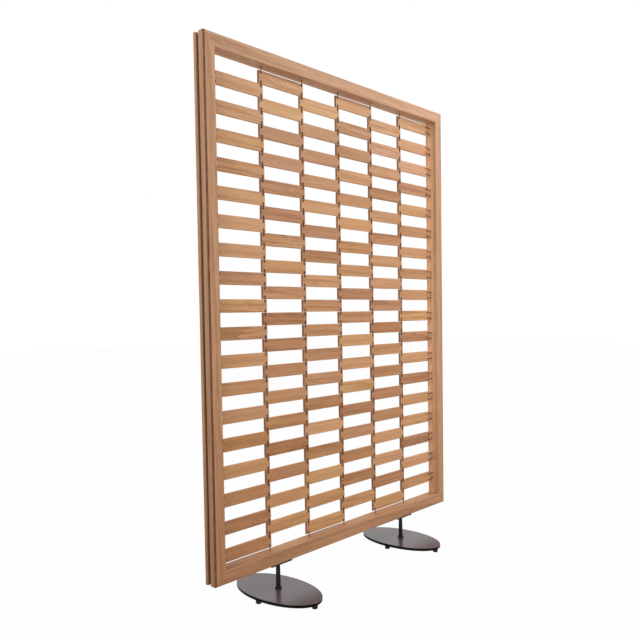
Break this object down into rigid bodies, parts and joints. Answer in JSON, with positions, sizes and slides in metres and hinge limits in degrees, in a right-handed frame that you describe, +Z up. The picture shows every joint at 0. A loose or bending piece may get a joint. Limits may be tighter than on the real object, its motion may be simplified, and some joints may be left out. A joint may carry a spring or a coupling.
{
  "type": "garden privacy screen",
  "caption": "Free-standing garden screen: a grooved timber frame laced with staggered horizontal slats on cords, on posts with oval base plates and levelling feet.",
  "frame": {"origin": "on the ground, halfway between the stiles and at half the depth of the frame", "axes": "+Z up, +X to the right seen from the front, front of the screen faces -Y"},
  "size_m": [1.44, 0.4, 2.01],
  "materials": {
    "frame_teak": "oiled teak, fine straight grain, satin",
    "slat_teak": "oiled teak, straight grain along the slat, colour differs from slat to slat",
    "tenon_wood": "planed hardwood, hidden",
    "lacing_cord": "braided dark brown cord",
    "powder_coated_steel": "fine satin powder coat, near black brown",
    "powder_coated_base": "fine satin powder coat, dark warm grey",
    "fastener_steel": "zinc plated steel",
    "pad_plastic": "black moulded plastic"
  },
  "bodies": {
    "screen": {"left_stile": "frame_teak", "right_stile": "frame_teak", "top_rail": "frame_teak", "bottom_rail": "frame_teak", "corner_tenon_top_left": "tenon_wood", "corner_tenon_bottom_left": "tenon_wood", "corner_tenon_top_right": "tenon_wood", "corner_tenon_bottom_right": "tenon_wood", "slats_column_1": "slat_teak", "slats_column_2": "slat_teak", "slats_column_3": "slat_teak", "slats_column_4": "slat_teak", "slats_column_5": "slat_teak", "slats_column_6": "slat_teak", "mesh_cord_1": "lacing_cord", "mesh_cord_2": "lacing_cord", "mesh_cord_3": "lacing_cord", "mesh_cord_4": "lacing_cord", "mesh_cord_5": "lacing_cord", "mesh_cord_knots_top": "lacing_cord", "mesh_cord_knots_bottom": "lacing_cord", "side_cord_left": "lacing_cord", "side_cord_right": "lacing_cord", "side_cord_knots_left": "lacing_cord", "side_cord_knots_right": "lacing_cord", "mounting_plate_left": "powder_coated_steel", "post_left": "powder_coated_steel", "post_collar_left": "powder_coated_steel", "base_plate_left": "powder_coated_base", "mounting_screws_left": "fastener_steel", "base_bolt_left": "fastener_steel", "mounting_plate_right": "powder_coated_steel", "post_right": "powder_coated_steel", "post_collar_right": "powder_coated_steel", "base_plate_right": "powder_coated_base", "mounting_screws_right": "fastener_steel", "base_bolt_right": "fastener_steel"},
    "leveller_left_outer": {"levelling_stud_left_outer": "fastener_steel", "levelling_pad_left_outer": "pad_plastic"},
    "leveller_left_inner": {"levelling_stud_left_inner": "fastener_steel", "levelling_pad_left_inner": "pad_plastic"},
    "leveller_left_front": {"levelling_stud_left_front": "fastener_steel", "levelling_pad_left_front": "pad_plastic"},
    "leveller_left_back": {"levelling_stud_left_back": "fastener_steel", "levelling_pad_left_back": "pad_plastic"},
    "leveller_right_outer": {"levelling_stud_right_outer": "fastener_steel", "levelling_pad_right_outer": "pad_plastic"},
    "leveller_right_inner": {"levelling_stud_right_inner": "fastener_steel", "levelling_pad_right_inner": "pad_plastic"},
    "leveller_right_front": {"levelling_stud_right_front": "fastener_steel", "levelling_pad_right_front": "pad_plastic"},
    "leveller_right_back": {"levelling_stud_right_back": "fastener_steel", "levelling_pad_right_back": "pad_plastic"}
  },
  "joints": [
    {"name": "leveller_left_outer_travel", "type": "slide", "parent": "screen", "child": "leveller_left_outer", "axis": [0, 0, -1], "range_m": [-0.0015, 0.0035]},
    {"name": "leveller_left_inner_travel", "type": "slide", "parent": "screen", "child": "leveller_left_inner", "axis": [0, 0, -1], "range_m": [-0.0015, 0.0035]},
    {"name": "leveller_left_front_travel", "type": "slide", "parent": "screen", "child": "leveller_left_front", "axis": [0, 0, -1], "range_m": [-0.0015, 0.0035]},
    {"name": "leveller_left_back_travel", "type": "slide", "parent": "screen", "child": "leveller_left_back", "axis": [0, 0, -1], "range_m": [-0.0015, 0.0035]},
    {"name": "leveller_right_outer_travel", "type": "slide", "parent": "screen", "child": "leveller_right_outer", "axis": [0, 0, -1], "range_m": [-0.0015, 0.0035]},
    {"name": "leveller_right_inner_travel", "type": "slide", "parent": "screen", "child": "leveller_right_inner", "axis": [0, 0, -1], "range_m": [-0.0015, 0.0035]},
    {"name": "leveller_right_front_travel", "type": "slide", "parent": "screen", "child": "leveller_right_front", "axis": [0, 0, -1], "range_m": [-0.0015, 0.0035]},
    {"name": "leveller_right_back_travel", "type": "slide", "parent": "screen", "child": "leveller_right_back", "axis": [0, 0, -1], "range_m": [-0.0015, 0.0035]}
  ]
}
